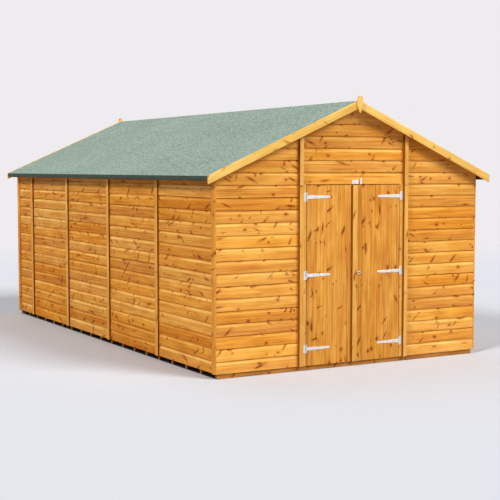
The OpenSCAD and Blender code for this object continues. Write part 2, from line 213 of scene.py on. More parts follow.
# The studio: backdrop, the floor as seen and as it throws light back, and the painted shade on the ground
# under the joists
BACKDROP = "#EFECEF"
FLOOR = "#D9DCE2"
FLOOR_BOUNCE = "#BABCC0"
UNDER_JOISTS_PAINTED_SHADE = "#3A3634"
FLOOR_R = 70
FLOOR_SIDES = 96
FLOOR_DROP = 1 * MM
# How far from the shed the floor starts to run into the backdrop, and where it has, in metres
FLOOR_FADE = (7.0, 17.0)
AMBIENT = 0.14


def linear(code):
    """A colour written as sRGB hex, in linear light."""
    parts = [int(code[i:i + 2], 16) / 255 for i in (1, 3, 5)]
    return tuple(c / 12.92 if c <= 0.04045 else ((c + 0.055) / 1.055) ** 2.4 for c in parts) + (1.0,)


def put(tree, kind, sockets=None, **settings):
    """Adds a node with its settings, and a value or a link for each socket that is named."""
    node = tree.nodes.new("ShaderNode" + kind)
    for key, value in settings.items():
        setattr(node, key, value)
    for key, value in (sockets or {}).items():
        if isinstance(value, bpy.types.NodeSocket):
            tree.links.new(value, node.inputs[key])
        else:
            node.inputs[key].default_value = value
    return node


def finish(name):
    """A new material, with its node tree and its shader."""
    material = bpy.data.materials.new(name)
    material.use_nodes = True
    return material, material.node_tree, material.node_tree.nodes["Principled BSDF"]


def knot_distance(tree, grain, kind, keep):
    """Distance to the nearest knot, where 1 is that knot's rim; and how far it lies across the board."""
    patch, half, lean = kind
    spot = put(tree, "VectorMath", {0: grain, 1: (1 / patch[0], 1 / patch[1], 0)},
               operation="MULTIPLY").outputs[0]
    scatter = {"Vector": spot, "Scale": 1.0, "Randomness": KNOT_SCATTER}
    patches = put(tree, "TexVoronoi", scatter, voronoi_dimensions="2D")
    middle = patches.outputs["Position"]
    chance = put(tree, "SeparateColor", {0: patches.outputs["Color"]}).outputs
    away = put(tree, "VectorMath", {0: spot, 1: middle}, operation="SUBTRACT").outputs[0]
    away = put(tree, "VectorMath", {0: away, 1: (*patch, 0)}, operation="MULTIPLY").outputs[0]
    angle = put(tree, "MapRange", {"Value": chance[1], "To Min": lean[0], "To Max": lean[1]}).outputs[0]
    turned = put(tree, "VectorRotate", {"Vector": away, "Angle": angle}, rotation_type="Z_AXIS").outputs[0]
    squeezed = put(tree, "VectorMath", {0: turned, 1: (1 / half[0], 1 / half[1], 0)},
                   operation="MULTIPLY").outputs[0]
    reach = put(tree, "VectorMath", {0: squeezed}, operation="LENGTH").outputs["Value"]
    small, large = KNOT_SIZES
    size = put(tree, "MapRange", {"Value": chance[2], "To Min": small, "To Max": large}).outputs[0]
    ratio = put(tree, "Math", {0: reach, 1: size}, operation="DIVIDE").outputs[0]

    # Patches outside a crowd, and some of those in one, hold no knot
    along = put(tree, "SeparateXYZ", {0: middle}).outputs[0]
    along = put(tree, "Math", {0: along, 1: patch[0] / WHORL}, operation="MULTIPLY").outputs[0]
    whorl = put(tree, "TexNoise", {"W": along, "Scale": 1.0, "Detail": 0.0}, noise_dimensions="1D")
    none, full = CROWDED
    crowd = put(tree, "MapRange",
                {"Value": whorl.outputs[0], "From Min": none, "From Max": full, "To Max": keep}).outputs[0]
    absent = put(tree, "Math", {0: chance[0], 1: crowd}, operation="GREATER_THAN").outputs[0]
    distance = put(tree, "Math", {0: absent, 1: FAR_OFF, 2: ratio}, operation="MULTIPLY_ADD").outputs[0]

    # A knot fades out before the edge of its patch, so that none ends in a straight cut
    edge = put(tree, "TexVoronoi", scatter, voronoi_dimensions="2D", feature="DISTANCE_TO_EDGE")
    edge = edge.outputs["Distance"]
    near, rise = PATCH_FADE
    sockets = {"Value": edge, "From Max": near, "To Min": rise, "To Max": 0.0}
    fade = put(tree, "MapRange", sockets).outputs[0]
    distance = put(tree, "Math", {0: distance, 1: fade}, operation="ADD").outputs[0]
    across = put(tree, "SeparateXYZ", {0: away}).outputs[1]
    return distance, across


def grain_pattern(tree, place, pattern):
    """A pattern drawn out along the grain, as strong as it shows at each place."""
    (long, wide), detail, distortion, (start, full), (least, most) = pattern
    spot = put(tree, "VectorMath", {0: place, 1: (1 / long, 1 / wide, 1 / wide)},
               operation="MULTIPLY").outputs[0]
    drawn = put(tree, "TexNoise",
                {"Vector": spot, "Scale": 1.0, "Detail": detail, "Distortion": distortion}).outputs[0]
    sockets = {"Value": drawn, "From Min": start, "From Max": full, "To Min": least, "To Max": most}
    return put(tree, "MapRange", sockets).outputs[0]


def softwood(name, pale, warm, dark, knot, knots=0.75, variety=1.0, edge=None):
    """Pine or spruce, planed and dipped in a water-based stain.

    The stain is thin, so growth rings, knots and the difference from board to board show through it,
    and the surface stays matt. Painted highlights lighten the coves and painted shade darkens the wood
    under each lip. Edges or ends that are sawn have a colour of their own, which on the strips is painted
    shade and on the joists' ends partly painted shade.
    """
    material, tree, shader = finish(name)
    pale, warm, dark, knot = (linear(code) for code in (pale, warm, dark, knot))
    grain = put(tree, "Attribute", attribute_name="grain").outputs["Vector"]
    tone = put(tree, "Attribute", attribute_name="tone").outputs["Fac"]
    painted_light = put(tree, "Attribute", attribute_name="painted_light").outputs["Fac"]

    # Round knots of about 16 mm and slanting spike knots of about 50 mm, crowded where branches grew
    rough = put(tree, "TexNoise", {"Vector": grain, "Scale": 1 / RAGGED_STEP, "Detail": 2.0}).outputs[0]
    ragged = put(tree, "MapRange", {"Value": rough, "To Min": -RAGGED, "To Max": RAGGED}).outputs[0]
    around, offset = knot_distance(tree, grain, ROUND_KNOT, knots - ROUND_RARER)
    spike, _ = knot_distance(tree, grain, SPIKE_KNOT, knots)
    nearest = put(tree, "Math", {0: around, 1: spike}, operation="MINIMUM").outputs[0]
    nearest = put(tree, "Math", {0: nearest, 1: ragged}, operation="ADD").outputs[0]
    core, halo, heart = (
        put(tree, "MapRange", {"Value": nearest, "From Min": start, "From Max": full, "To Max": most},
            interpolation_type=rise).outputs[0]
        for start, full, most, rise in (CORE, HALO, HEART))

    # Growth rings, figure and broader bands, all pushed aside by the round knots
    squared = put(tree, "Math", {0: around, 1: around}, operation="MULTIPLY").outputs[0]
    fading = put(tree, "Math", {0: squared, 1: BEND_FADE}, operation="MULTIPLY").outputs[0]
    fading = put(tree, "Math", {0: fading}, operation="EXPONENT").outputs[0]
    push = put(tree, "Math", {0: offset, 1: fading}, operation="MULTIPLY").outputs[0]
    push = put(tree, "Math", {0: push, 1: BEND_PUSH}, operation="MULTIPLY").outputs[0]
    pushed = put(tree, "CombineXYZ", {1: push}).outputs[0]
    flow = put(tree, "VectorMath", {0: grain, 1: pushed}, operation="ADD").outputs[0]
    bands, figure, rings = (grain_pattern(tree, flow, pattern) for pattern in (BANDS, FIGURE, RINGS))
    lines = put(tree, "Math", {0: rings, 1: RING_DARK}, operation="MULTIPLY").outputs[0]
    colour = put(tree, "Mix", {0: bands, 6: pale, 7: warm}, data_type="RGBA").outputs[2]
    for share in (lines, figure, halo):
        colour = put(tree, "Mix", {0: share, 6: colour, 7: dark}, data_type="RGBA").outputs[2]
    knotty = put(tree, "Mix", {0: heart, 6: knot, 7: dark}, data_type="RGBA").outputs[2]
    colour = put(tree, "Mix", {0: core, 6: colour, 7: knotty}, data_type="RGBA").outputs[2]

    # Each board has its own depth of colour, and some are redder than others
    depth = put(tree, "Math", {0: tone, 1: TONE_CURVE}, operation="POWER").outputs[0]
    darkest, palest = 1 - DARKER * variety, 1 + PALER * variety
    shade = put(tree, "MapRange", {"Value": depth, "To Min": darkest, "To Max": palest}).outputs[0]
    other = put(tree, "Math", {0: tone, 1: SECOND_DRAW}, operation="MULTIPLY").outputs[0]
    other = put(tree, "Math", {0: other}, operation="FRACT").outputs[0]
    reddest, dullest = SAME_HUE - REDDER * variety, 1 - DULLER * variety
    hue = put(tree, "MapRange", {"Value": other, "To Min": reddest, "To Max": SAME_HUE}).outputs[0]
    strength = put(tree, "MapRange", {"Value": other, "To Min": 1.0, "To Max": dullest}).outputs[0]

    # The coat is blotchy; painted shade darkens the wood more with each step, and painted highlight
    # lightens it
    blotches = grain_pattern(tree, grain, BLOTCHES)
    shade = put(tree, "Math", {0: shade, 1: blotches}, operation="MULTIPLY").outputs[0]
    first, more = PAINTED_LIGHT_STEPS
    painted_gain = put(tree, "Math", {0: painted_light, 1: -more, 2: -first}, operation="MULTIPLY_ADD").outputs[0]
    painted_gain = put(tree, "Math", {0: painted_gain, 1: painted_light, 2: 1.0}, operation="MULTIPLY_ADD").outputs[0]
    shade = put(tree, "Math", {0: shade, 1: painted_gain}, operation="MULTIPLY").outputs[0]

    # A deeper coat takes up more blue than red, so it is redder as well as darker, and painted shade is
    # made redder the same way
    coat_and_painted_shade = put(tree, "Math", {0: shade, 1: -COAT_RED, 2: 1 + COAT_RED}, operation="MULTIPLY_ADD").outputs[0]
    colour = put(tree, "Gamma", {"Color": colour, "Gamma": coat_and_painted_shade}).outputs[0]
    value = put(tree, "Math", {0: shade, 1: COAT_CURVE}, operation="POWER").outputs[0]
    colour = put(tree, "HueSaturation",
                 {"Color": colour, "Hue": hue, "Saturation": strength, "Value": value}).outputs[0]
    # Sawn edges and ends take their own colour: painted shade on the strips, partly painted shade on the
    # joists' ends
    if edge:
        sawn_and_shaded = put(tree, "Attribute", attribute_name="sawn_and_shaded").outputs["Fac"]
        colour = put(tree, "Mix", {0: sawn_and_shaded, 6: colour, 7: linear(edge)}, data_type="RGBA").outputs[2]
    tree.links.new(colour, shader.inputs["Base Color"])

    # Dark rings and knots are harder, so planing leaves them a little proud
    height = put(tree, "Math", {0: rings, 1: core}, operation="ADD").outputs[0]
    bump = put(tree, "Bump", {"Height": height, "Strength": 0.35, "Distance": 0.5 * MM}).outputs[0]
    tree.links.new(bump, shader.inputs["Normal"])
    gloss = put(tree, "MapRange", {"Value": rings, "To Min": 0.58, "To Max": 0.72}).outputs[0]
    tree.links.new(gloss, shader.inputs["Roughness"])
    shader.inputs["IOR"].default_value = 1.45
    shader.inputs["Specular IOR Level"].default_value = 0.06
    return material


def mineral_felt(name, chip_pale, chip_dark, ground, wear):
    """Bitumen felt with green mineral chips rolled into it.

    The chips give a matt, speckled, slightly mottled grey-green. Where the sheet is bent down they
    are rubbed off, and the dark bitumen shows. Real chips are 1 to 2 mm; here they are 6 mm, to show.
    """
    material, tree, shader = finish(name)
    place = put(tree, "TexCoord").outputs["Object"]
    chips = put(tree, "TexVoronoi", {"Vector": place, "Scale": 1 / FELT_CHIP})
    chance = put(tree, "SeparateColor", {0: chips.outputs["Color"]}).outputs[0]
    chance = put(tree, "MapRange", {"Value": chance, "From Min": 0.15, "From Max": 0.85}).outputs[0]
    patches = put(tree, "TexNoise", {"Vector": place, "Scale": 1 / FELT_PATCH, "Detail": 3.0}).outputs[0]
    patches = put(tree, "MapRange", {"Value": patches, "From Min": 0.3, "From Max": 0.7}).outputs[0]
    clouds = put(tree, "TexNoise", {"Vector": place, "Scale": 1 / FELT_CLOUD, "Detail": 2.0}).outputs[0]
    sockets = {"Value": clouds, "From Min": 0.3, "From Max": 0.7, "To Min": 0.93, "To Max": 1.05}
    clouds = put(tree, "MapRange", sockets).outputs[0]
    mixed = put(tree, "Mix", {0: 0.5, 2: chance, 3: patches}, data_type="FLOAT").outputs[0]
    colour = put(tree, "Mix", {0: mixed, 6: linear(chip_dark), 7: linear(chip_pale)},
                 data_type="RGBA").outputs[2]
    bare = put(tree, "MapRange", {"Value": patches, "To Min": wear, "To Max": wear * 0.8}).outputs[0]
    colour = put(tree, "Mix", {0: bare, 6: colour, 7: linear(ground)}, data_type="RGBA").outputs[2]
    colour = put(tree, "HueSaturation", {"Color": colour, "Value": clouds}).outputs[0]
    tree.links.new(colour, shader.inputs["Base Color"])
    height = chips.outputs["Distance"]
    bump = put(tree, "Bump", {"Height": height, "Strength": 0.6, "Distance": 1.2 * MM}).outputs[0]
    tree.links.new(bump, shader.inputs["Normal"])
    shader.inputs["Roughness"].default_value = 0.92
    shader.inputs["Specular IOR Level"].default_value = 0.25
    return material


def zinc_steel(name, pale, dull):
    """Pressed steel dipped in zinc: pale, with a soft sheen and a faint spangle of crystals 7 mm wide."""
    material, tree, shader = finish(name)
    place = put(tree, "TexCoord").outputs["Object"]
    crystals = put(tree, "TexVoronoi", {"Vector": place, "Scale": 1 / SPANGLE})
    chance = put(tree, "SeparateColor", {0: crystals.outputs["Color"]}).outputs[0]
    colour = put(tree, "Mix", {0: chance, 6: linear(dull), 7: linear(pale)}, data_type="RGBA").outputs[2]
    tree.links.new(colour, shader.inputs["Base Color"])
    gloss = put(tree, "MapRange", {"Value": chance, "To Min": 0.38, "To Max": 0.52}).outputs[0]
    tree.links.new(gloss, shader.inputs["Roughness"])
    scratch = put(tree, "TexNoise", {"Vector": place, "Scale": 1 / SCRATCH, "Detail": 2.0}).outputs[0]
    bump = put(tree, "Bump", {"Height": scratch, "Strength": 0.12, "Distance": 0.2 * MM}).outputs[0]
    tree.links.new(bump, shader.inputs["Normal"])
    shader.inputs["Metallic"].default_value = 0.85
    return material


def black_japan(name, black, worn):
    """Steel stoved with black lacquer: nearly black, half gloss, a little greyer where it is rubbed."""
    material, tree, shader = finish(name)
    place = put(tree, "TexCoord").outputs["Object"]
    rubbed = put(tree, "TexNoise", {"Vector": place, "Scale": 1 / RUBBED, "Detail": 3.0}).outputs[0]
    rubbed = put(tree, "MapRange", {"Value": rubbed, "From Min": 0.45, "From Max": 0.75}).outputs[0]
    colour = put(tree, "Mix", {0: rubbed, 6: linear(black), 7: linear(worn)}, data_type="RGBA").outputs[2]
    tree.links.new(colour, shader.inputs["Base Color"])
    gloss = put(tree, "MapRange", {"Value": rubbed, "To Min": 0.35, "To Max": 0.55}).outputs[0]
    tree.links.new(gloss, shader.inputs["Roughness"])
    return material


# Wall boards, moulded and dipped: they vary most from one to the next
cladding_finish = softwood("dipped_shiplap_pine", "#FBBA48", "#EA9830", "#B86415", "#8A3E0E", variety=1.1)
# Door boards, picked to match and dipped
door_finish = softwood("dipped_matchboard_pine", "#F8B650", "#DE8E33", "#A2520E", "#7A3208", variety=0.4)
# Strips, planed on their faces and sawn on their edges, which are browner as painted shade at a strip's
# sides
trim_finish = softwood(
    "dipped_planed_strips", "#FBC466", "#EEAA48", "#C27A26", "#8E4C14", 0.45, 0.5, edge="#9A540C")
# Bargeboards and finials, planed all round: the palest wood
barge_finish = softwood("dipped_pale_bargeboard", "#FFD87A", "#FFC254", "#DE9A3C", "#AA661E", 0.7, 0.4)
# Framing and inner boards, sawn and dipped: duller and browner
frame_finish = softwood("dipped_sawn_framing", "#E6AE5F", "#CF8F42", "#A5662A", "#6E3B14", 0.55, 0.8)
# Joists, rough sawn: brown, with paler ends where they were cut to length, dulled in part as painted shade
joist_finish = softwood(
    "dipped_rough_joists", "#CC8C42", "#B67630", "#8A5420", "#5E3410", 0.5, 0.8, edge="#96703A")
# Battens under the eaves, painted dark as the shade under the eaves
batten_shade_finish = softwood("eaves_batten_painted_shade", "#6E5636", "#5C4528", "#43301A", "#352514", 0.4, 0.4)
felt_finish = mineral_felt("green_mineral_felt", "#B9CDBE", "#5A6C62", "#3A463E", 0.08)
hem_finish = mineral_felt("worn_mineral_felt", "#617368", "#46574E", "#2A342F", 0.7)
steel_finish = zinc_steel("galvanised_steel", "#F2F1EE", "#D6D6D4")
# Nails and clouts, weathered to a dull grey
clout_finish = zinc_steel("dull_zinc_clouts", "#878D8A", "#666C69")
# The keyhole's disc: black lacquer, nearly black also as painted shade in the hollow of the lock
lock_lacquer_and_shade = black_japan("black_lacquer_and_painted_shade", "#141210", "#3A3430")


class Stock:
    """Timber cut for one piece, board by board, with what its finish needs to know of each board."""

    def __init__(self):
        self.points = []
        self.faces = []
        self.grain = []
        self.tone = []
        self.painted_light = []
        self.sawn_and_shaded = []

    def lay(self, board, along, across, sawn_and_shaded=None):
        """Adds a finished board, with its grain in one direction and its width in the other.

        Faces square to the sawn direction, if there is one, are sawn edges or ends, and take the edge
        colour, which is painted shade on strips and partly painted shade on joist ends.
        """
        start = len(self.points)
        shift = Vector([dice.uniform(0, GRAIN_SHIFT) for _ in range(3)])
        tone = dice.random()
        through = along.cross(across)
        painted_light_layer = board.verts.layers.float.get("painted_light")
        board.normal_update()
        board.verts.index_update()
        for v in board.verts:
            self.points.append(v.co.copy())
            self.grain.append(Vector((v.co.dot(along), v.co.dot(across), v.co.dot(through))) + shift)
            self.tone.append(tone)
            self.painted_light.append(v[painted_light_layer] if painted_light_layer else 0.0)
        for f in board.faces:
            self.faces.append([start + v.index for v in f.verts])
            self.sawn_and_shaded.append(float(sawn_and_shaded is not None and abs(f.normal.dot(sawn_and_shaded)) > SQUARE))
        board.free()

    def make(self, name, body, slot, material, *replaced):
        """Makes the finished piece, in place of its nodes."""
        mesh = bpy.data.meshes.new(name)
        mesh.from_pydata(self.points, [], self.faces)
        for key, kind, domain, values in (
            ("grain", "FLOAT_VECTOR", "POINT", [c for g in self.grain for c in g]),
            ("tone", "FLOAT", "POINT", self.tone),
            ("painted_light", "FLOAT", "POINT", self.painted_light),
            ("sawn_and_shaded", "FLOAT", "FACE", self.sawn_and_shaded),
        ):
            field = "vector" if kind == "FLOAT_VECTOR" else "value"
            mesh.attributes.new(key, kind, domain).data.foreach_set(field, values)
        soften(mesh)
        fit(name, mesh, body, slot, material, *replaced)


def soften(mesh):
    """Shades a mesh smooth, but for its sharp edges."""
    mesh.shade_smooth()
    mesh.set_sharp_from_angle(angle=SHARP)


def fit(name, mesh, body, slot, material, *replaced):
    """Makes a piece of a mesh: its finish, the body that it rides on and the nodes that it stands for."""
    mesh.materials.append(material)
    piece = bpy.data.objects.new(name, mesh)
    bpy.context.scene.collection.objects.link(piece)
    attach(piece, body)
    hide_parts(*replaced)


def solids(node):
    """Each solid of a node as a mesh of its own, welded and without the diagonals of its flat faces."""
    whole = bmesh.new()
    whole.from_mesh(nodes[node].data)
    bmesh.ops.remove_doubles(whole, verts=whole.verts, dist=WELD)
    bmesh.ops.dissolve_limit(whole, angle_limit=FLAT, verts=whole.verts, edges=whole.edges)
    left = set(whole.verts)
    found = []
    while left:
        queue = [next(v for v in whole.verts if v in left)]
        island = []
        left.discard(queue[0])
        while queue:
            v = queue.pop()
            island.append(v)
            for e in v.link_edges:
                other = e.other_vert(v)
                if other in left:
                    left.discard(other)
                    queue.append(other)
        solid = bmesh.new()
        twin = {v: solid.verts.new(v.co) for v in sorted(island, key=lambda v: v.index)}
        for f in whole.faces:
            if f.verts[0] in twin:
                solid.faces.new([twin[v] for v in f.verts])
        found.append(solid)
    whole.free()
    return found


def span(points):
    """Lowest and highest corner of some points."""
    return [Vector([pick(p[i] for p in points) for i in range(3)]) for pick in (min, max)]


def boxes(*names):
    """Lowest and highest corners of every solid of some nodes."""
    return [span([v.co for v in solid.verts]) for node in names for solid in solids(node)]


def ease(solid, width):
    """Takes the sharpness off every edge of a board."""
    bmesh.ops.bevel(solid, geom=solid.edges[:], offset=width, segments=EASE_STEPS, profile=EASE_FULLNESS,
                    affect="EDGES", clamp_overlap=True)
    bmesh.ops.recalc_face_normals(solid, faces=solid.faces)


def cut(solid, point, normal):
    """Cuts away what lies beyond a plane, and closes the cut."""
    bmesh.ops.bisect_plane(solid, geom=solid.verts[:] + solid.edges[:] + solid.faces[:], dist=WELD,
                           plane_co=point, plane_no=normal, clear_outer=True)
    open_edges = [e for e in solid.edges if e.is_boundary]
    if open_edges:
        bmesh.ops.holes_fill(solid, edges=open_edges, sides=0)


def longest_edge(solid):
    """Direction of a board's length."""
    edge = max(solid.edges, key=lambda e: e.calc_length())
    way = (edge.verts[1].co - edge.verts[0].co).normalized()
    return way if way.dot(ONWARD) > 0 else -way


def broadest_face(solid):
    """Direction square to a board's broad face."""
    solid.normal_update()
    return max(solid.faces, key=lambda f: f.calc_area()).normal.copy()


def timber(node, body, slot, material, painted_shade_edges=False):
    """A node's lengths of timber, each with its own grain and its edges eased."""
    stock = Stock()
    for solid in solids(node):
        along = longest_edge(solid)
        across = broadest_face(solid).cross(along).normalized()
        ease(solid, TIMBER_ARRIS)
        stock.lay(solid, along, across, across if painted_shade_edges else None)
    stock.make(node + "_timber", body, slot, material, node)


def even_seams(first, last, width):
    """Where a slab is parted into equal boards of about one width."""
    count = round((last - first) / width)
    return [first + i * (last - first) / count for i in range(1, count)]


def ripped(node, body, slot, material, axis, along, seams, arris):
    """A slab as the boards that it is made of, parted at the seams."""
    stock = Stock()
    low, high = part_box(node)
    stops = [low.dot(axis)] + seams + [high.dot(axis)]
    for i, (start, stop) in enumerate(zip(stops, stops[1:])):
        board = solids(node)[0]
        if i > 0:
            cut(board, axis * (start + SEAM / 2), -axis)
        if i < len(stops) - 2:
            cut(board, axis * (stop - SEAM / 2), axis)
        ease(board, arris)
        stock.lay(board, along, axis)
    stock.make(node + "_boards", body, slot, material, node)


# The roof's underside, from the gable panels: it falls from the ridge on both sides
ridge_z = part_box("front_header_panel")[1].z
side_low, side_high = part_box("front_right_panel")
slope = (ridge_z - side_high.z) / side_low.x
head_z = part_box("front_header_panel")[0].z
clad_z = side_low.z
board_cover = (head_z - clad_z) / BOARDS_TO_DOOR_HEAD
ROOF_SIDES = [(Vector((0, 0, ridge_z)), Vector((s * slope, 0, 1)).normalized()) for s in (-1, 1)]


def shiplap_profile(thick):
    """Corners of a shiplap board's section, from the lip up: depth behind the face, height and painted
    light.
    """
    cove = []
    for i, painted_light in enumerate(COVE_PAINTED_LIGHT):
        share = i / (len(COVE_PAINTED_LIGHT) - 1)
        depth = COVE_DEEP * math.sin(share * math.pi / 2)
        cove.append((depth, board_cover - (1 - share) * COVE_HIGH, painted_light))
    top = board_cover + TONGUE
    corners = ((LIP_ARRIS, 0), (0, LIP_ARRIS), (0, LIP_RUN))
    lip = [(*corner, painted_light) for corner, painted_light in zip(corners, LIP_PAINTED_LIGHT)]
    tongue = [(COVE_DEEP, top, 1), (thick, top, 0)]
    rebate = [(thick, REBATE, 0), (LIP_BACK, REBATE, 0), (LIP_BACK, 0, 1)]
    return lip + cove + tongue + rebate


def shiplap(node, outward, coat_and_painted_shade=0.0, painted_lines=1.0):
    """A wall panel as its shiplap boards, laid from the bottom and cut under the roof."""
    low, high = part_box(node)
    along = UP.cross(outward)
    first, last = sorted((low.dot(along), high.dot(along)))
    face = max(low.dot(outward), high.dot(outward))
    profile = shiplap_profile(abs((high - low).dot(outward)))
    stock = Stock()
    for row in range(math.ceil((high.z - low.z) / board_cover - TRIFLE)):
        base_z = low.z + row * board_cover
        lifts = [0.0, 0.0]
        if row > 0:
            lifts = [dice.uniform(-BOARD_WANDER, BOARD_WANDER) for _ in range(2)]
        board = bmesh.new()
        painted_light_layer = board.verts.layers.float.new("painted_light")
        sections = []
        for u, lift in zip((first, last), lifts):
            painted_line_strength = painted_lines * painted_line_dice.uniform(*PAINTED_LINE_SPREAD)
            section = []
            for depth, height, painted_light in profile:
                place = along * u + outward * (face - depth) + UP * (base_z + height + lift)
                corner = board.verts.new(place)
                # Each corner takes the painted highlight or painted shade of its place in the profile, plus
                # the painted shade of the whole wall
                corner[painted_light_layer] = painted_light * painted_line_strength + coat_and_painted_shade
                section.append(corner)
            sections.append(section)
        for i in range(len(profile)):
            j = (i + 1) % len(profile)
            board.faces.new((sections[0][i], sections[0][j], sections[1][j], sections[1][i]))
        board.faces.new(sections[0])
        board.faces.new(sections[1][::-1])
        bmesh.ops.recalc_face_normals(board, faces=board.faces)
        for point, normal in ROOF_SIDES:
            cut(board, point, normal)
        if board.faces:
            stock.lay(board, along, UP)
    stock.make(node + "_shiplap", "shed", "cladding", cladding_finish, node)


# The side walls carry painted shade and stronger painted highlight and shade lines than the gables
for i in range(1, SIDE_PANELS + 1):
    shiplap(f"left_wall_panel_{i}", -RIGHT, SIDE_PAINTED_SHADE, SIDE_PAINTED_LINES)
    shiplap(f"right_wall_panel_{i}", RIGHT, SIDE_PAINTED_SHADE, SIDE_PAINTED_LINES)
for node in ("front_left_panel", "front_right_panel", "front_header_panel"):
    shiplap(node, -BACK)
for node in ("back_left_panel", "back_right_panel"):
    shiplap(node, BACK)


def floor_joists():
    """The joists: the outer two were dipped with the walls, the others are painted dark as the shade
    between them.
    """
    low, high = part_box("floor_joists")
    stock = Stock()
    for joist in solids("floor_joists"):
        painted_light_layer = joist.verts.layers.float.new("painted_light")
        outer = min(abs(v.co.y - edge) for v in joist.verts for edge in (low.y, high.y)) < WELD
        for v in joist.verts:
            # Inner joists carry painted shade, for the dark between them
            v[painted_light_layer] = 0.0 if outer else JOIST_PAINTED_SHADE
        ease(joist, TIMBER_ARRIS)
        stock.lay(joist, RIGHT, UP, RIGHT)
    stock.make("floor_joists_timber", "shed", "framing", joist_finish, "floor_joists")


# Framing, floor and roof timbers
floor_joists()
for node in ("side_wall_studs", "side_wall_rails", "gable_studs", "gable_rails", "roof_purlins"):
    timber(node, "shed", "framing", frame_finish)
timber("eaves_battens", "shed", "framing", batten_shade_finish)
low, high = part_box("floor_deck")
seams = even_seams(low.x, high.x, FLOOR_BOARD)
ripped("floor_deck", "shed", "framing", frame_finish, RIGHT, BACK, seams, FLOOR_ARRIS)
for side, node in ((-1, "left_roof_boards"), (1, "right_roof_boards")):
    low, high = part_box(node)
    seams = even_seams(low.y, high.y, ROOF_BOARD)
    down = Vector((side, 0, -slope)).normalized()
    ripped(node, "shed", "framing", frame_finish, BACK, down, seams, ROOF_ARRIS)

# Trim: strips with sawn edges painted dark as shade, and the planed bargeboards and finials
for node in ("side_cover_strips", "doorway_posts", "back_cover_strip"):
    timber(node, "shed", "trim", trim_finish, painted_shade_edges=True)
timber("corner_strips", "shed", "trim", cladding_finish)
timber("door_jambs", "shed", "trim", trim_finish)
for end in ("front", "back"):
    for node in (f"{end}_left_bargeboard", f"{end}_right_bargeboard", f"{end}_finial"):
        timber(node, "shed", "trim", barge_finish)

# Doors: matchboard, laid from the hinge side, on ledges and braces
for side, body in ((-1, "left_door"), (1, "right_door")):
    low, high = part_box(body + "_boards")
    hinge_x = low.x if side < 0 else high.x
    count = int((high.x - low.x) / DOOR_BOARD - NARROWEST)
    seams = sorted(hinge_x - side * i * DOOR_BOARD for i in range(1, count + 1))
    ripped(body + "_boards", body, "cladding", door_finish, RIGHT, UP, seams, DOOR_ARRIS)
    timber(body + "_ledges", body, "framing", frame_finish)
timber("door_meeting_strip", "right_door", "trim", trim_finish, painted_shade_edges=True)


def felt_section(low, high):
    """A felt sheet's top from the ridge down the slope, round the bend and down the hem, as x and z."""
    edge_x = max(abs(low.x), abs(high.x))
    run = []
    for i in range(FELT_STEPS_DOWN + 1):
        x = (edge_x - FELT_BEND) * i / FELT_STEPS_DOWN
        run.append((x, high.z - slope * x))
    turn = math.pi / 2 - math.atan(slope)
    corner_z = high.z - slope * edge_x
    centre_x = edge_x - FELT_BEND
    centre_z = corner_z + slope * FELT_BEND - FELT_BEND * math.hypot(1, slope)
    for i in range(BEND_STEPS + 1):
        angle = turn - turn * i / BEND_STEPS
        run.append((centre_x + FELT_BEND * math.cos(angle), centre_z + FELT_BEND * math.sin(angle)))
    for i in range(1, HEM_STEPS + 1):
        run.append((edge_x, centre_z + (low.z - centre_z) * i / HEM_STEPS))
    return run


def felt_sag(x, y, side):
    """How far a felt sheet sags at one place."""
    swell = noise.noise((x * SWELL[0] + SWELL_SHIFT * side, y * SWELL[1], SWELL_LAYER)) * SWELL[2]
    ripple = noise.noise((x * RIPPLE[0], y * RIPPLE[1], side)) * RIPPLE[2]
    return FELT_SAG * (0.5 + 0.5 * (swell + ripple))


def felt_faces(wide):
    """Faces of a felt sheet's top, underside and edges, and whether each is worn."""
    under = wide * (FELT_STEPS_ALONG + 1)
    faces = []
    worn = []
    for j in range(FELT_STEPS_ALONG):
        for i in range(wide - 1):
            a = j * wide + i
            quad = (a, a + 1, a + wide + 1, a + wide)
            faces += [quad, tuple(under + v for v in quad[::-1])]
            worn += [i >= WORN_FROM] * 2
    for j in range(FELT_STEPS_ALONG):
        for i in (0, wide - 1):
            a, b = j * wide + i, (j + 1) * wide + i
            faces.append((a, b, under + b, under + a) if i == 0 else (b, a, under + a, under + b))
            worn.append(i > 0)
    for i in range(wide - 1):
        for j in (0, FELT_STEPS_ALONG):
            a, b = j * wide + i, j * wide + i + 1
            faces.append((b, a, under + a, under + b) if j == 0 else (a, b, under + b, under + a))
            worn.append(i >= WORN_FROM)
    return faces, worn


def roof_felt(node, side):
    """A sheet of felt on one slope: it lies a little unevenly, and is bent down over the eaves."""
    low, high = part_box(node)
    run = felt_section(low, high)
    points = []
    for underside in (False, True):
        for j in range(FELT_STEPS_ALONG + 1):
            y = low.y + (high.y - low.y) * j / FELT_STEPS_ALONG
            for i, (x, z) in enumerate(run):
                before, after = run[max(i - 1, 0)], run[min(i + 1, len(run) - 1)]
                dx, dz = after[0] - before[0], after[1] - before[1]
                step = math.hypot(dx, dz)
                deep = FELT_THICK if underside else felt_sag(x, y, side)
                points.append((side * (x + dz / step * deep), y, z - dx / step * deep))
    faces, worn = felt_faces(len(run))
    mesh = bpy.data.meshes.new(node + "_sheet")
    mesh.from_pydata(points, [], faces if side > 0 else [f[::-1] for f in faces])
    soften(mesh)
    fit(node + "_sheet", mesh, "shed", "roof_felt", felt_finish, node)
    mesh.materials.append(hem_finish)
    mesh.polygons.foreach_set("material_index", [int(w) for w in worn])


roof_felt("left_roof_felt", -1)
roof_felt("right_roof_felt", 1)


